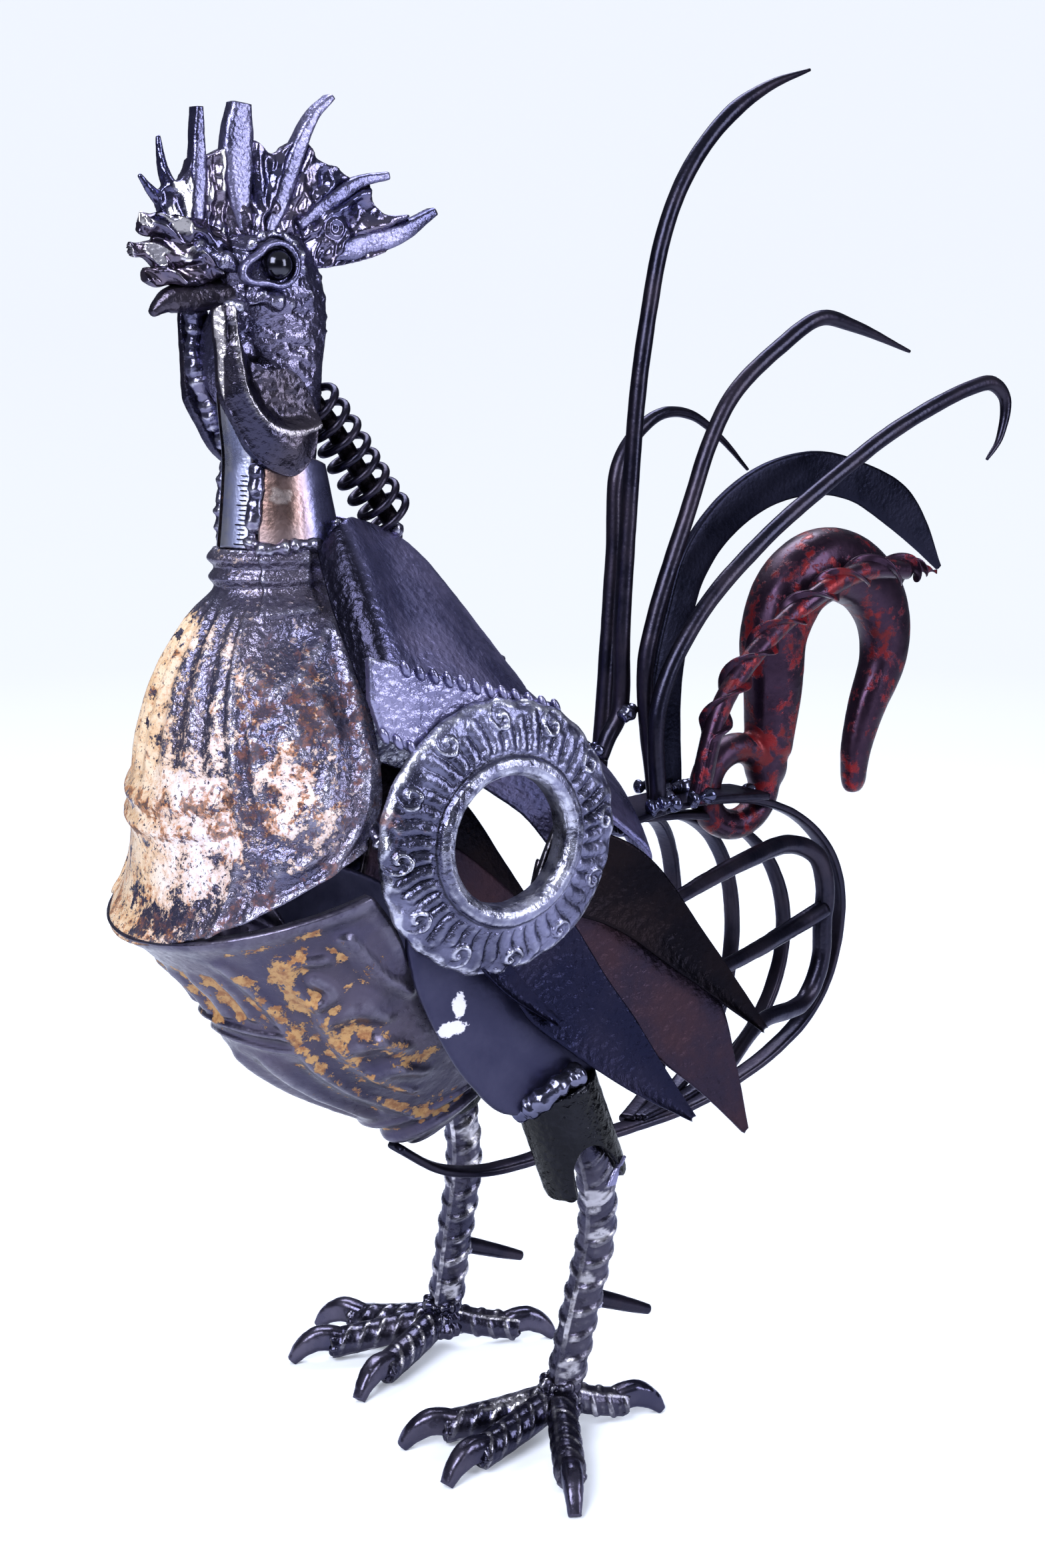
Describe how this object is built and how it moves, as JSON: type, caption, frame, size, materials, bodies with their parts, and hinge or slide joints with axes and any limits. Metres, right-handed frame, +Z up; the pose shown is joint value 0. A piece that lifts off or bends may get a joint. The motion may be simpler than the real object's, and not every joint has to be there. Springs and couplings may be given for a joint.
{
  "type": "scrap metal rooster sculpture",
  "caption": "Standing rooster welded from scrap iron: ribbed bar legs, cast breast shells, rosette ring shoulders, sheet feathers and a tail of tines, hook and sickle.",
  "frame": {"origin": "middle of the bottom of the whole bird's box, on the surface that the claws stand on", "axes": "+Z up; the bird looks along -X and its left side is -Y"},
  "size_m": [0.4158, 0.1982, 0.544],
  "materials": {
    "dark_iron": "dark burnished iron with faint rust, satin",
    "ground_steel": "ground and worn steel with dark recesses",
    "rebar": "ribbed bar, dark oxide with bright worn ribs",
    "cream_enamel": "chipped cream enamel over rust",
    "ochre_cast": "dark cast iron with remains of ochre paint",
    "grey_cast": "silvery cast iron with dark recesses",
    "brown_lacquer": "smooth brown lacquered sheet",
    "rust_sheet": "reddish brown rusted sheet",
    "red_paint": "worn dark red paint",
    "pale_sheet": "blue-grey sheet with pale scraped patches"
  },
  "bodies": {
    "root": {"leg_left": "rebar", "leg_right": "rebar", "toe_left_outer": "rebar", "toe_left_middle": "rebar", "toe_left_inner": "rebar", "toe_left_hind": "rebar", "toe_right_outer": "rebar", "toe_right_middle": "rebar", "toe_right_inner": "rebar", "toe_right_hind": "rebar", "wing_ring_left": "grey_cast", "wing_ring_right": "grey_cast", "feather_left_upper": "dark_iron", "feather_left_lower": "dark_iron", "feather_left_middle": "rust_sheet", "shoulder_plate_left": "dark_iron", "leg_socket_left": "dark_iron", "feather_right_upper": "dark_iron", "feather_right_lower": "dark_iron", "feather_right_middle": "rust_sheet", "shoulder_plate_right": "dark_iron", "leg_socket_right": "dark_iron", "breast_upper": "cream_enamel", "breast_lower": "ochre_cast", "thigh_plate_left": "pale_sheet", "thigh_plate_right": "pale_sheet", "back_plate_left": "dark_iron", "back_plate_right": "dark_iron", "saddle_plate": "dark_iron", "throat_rule": "ground_steel", "neck_plate_left": "brown_lacquer", "neck_plate_right": "brown_lacquer", "neck_spring": "rebar", "skull": "dark_iron", "eye_ball_left": "ground_steel", "eye_ring_left": "ground_steel", "wattle_left": "ground_steel", "eye_ball_right": "ground_steel", "eye_ring_right": "ground_steel", "wattle_right": "ground_steel", "beak": "dark_iron", "brow": "dark_iron", "comb_spike_third": "ground_steel", "comb_spike_fourth": "ground_steel", "comb_spike_fifth": "ground_steel", "comb_spike_sixth": "ground_steel", "comb_spike_seventh": "ground_steel", "comb_web": "ground_steel", "tail_seat": "dark_iron", "keel_hoop": "dark_iron", "fork": "dark_iron", "crane_hook": "red_paint", "auger_bit": "red_paint", "tine_near": "dark_iron", "tine_tall": "dark_iron", "tine_bent": "dark_iron", "tine_back": "dark_iron", "sickle": "dark_iron", "notched_bar": "dark_iron", "side_hoops": "dark_iron"}
  },
  "joints": []
}
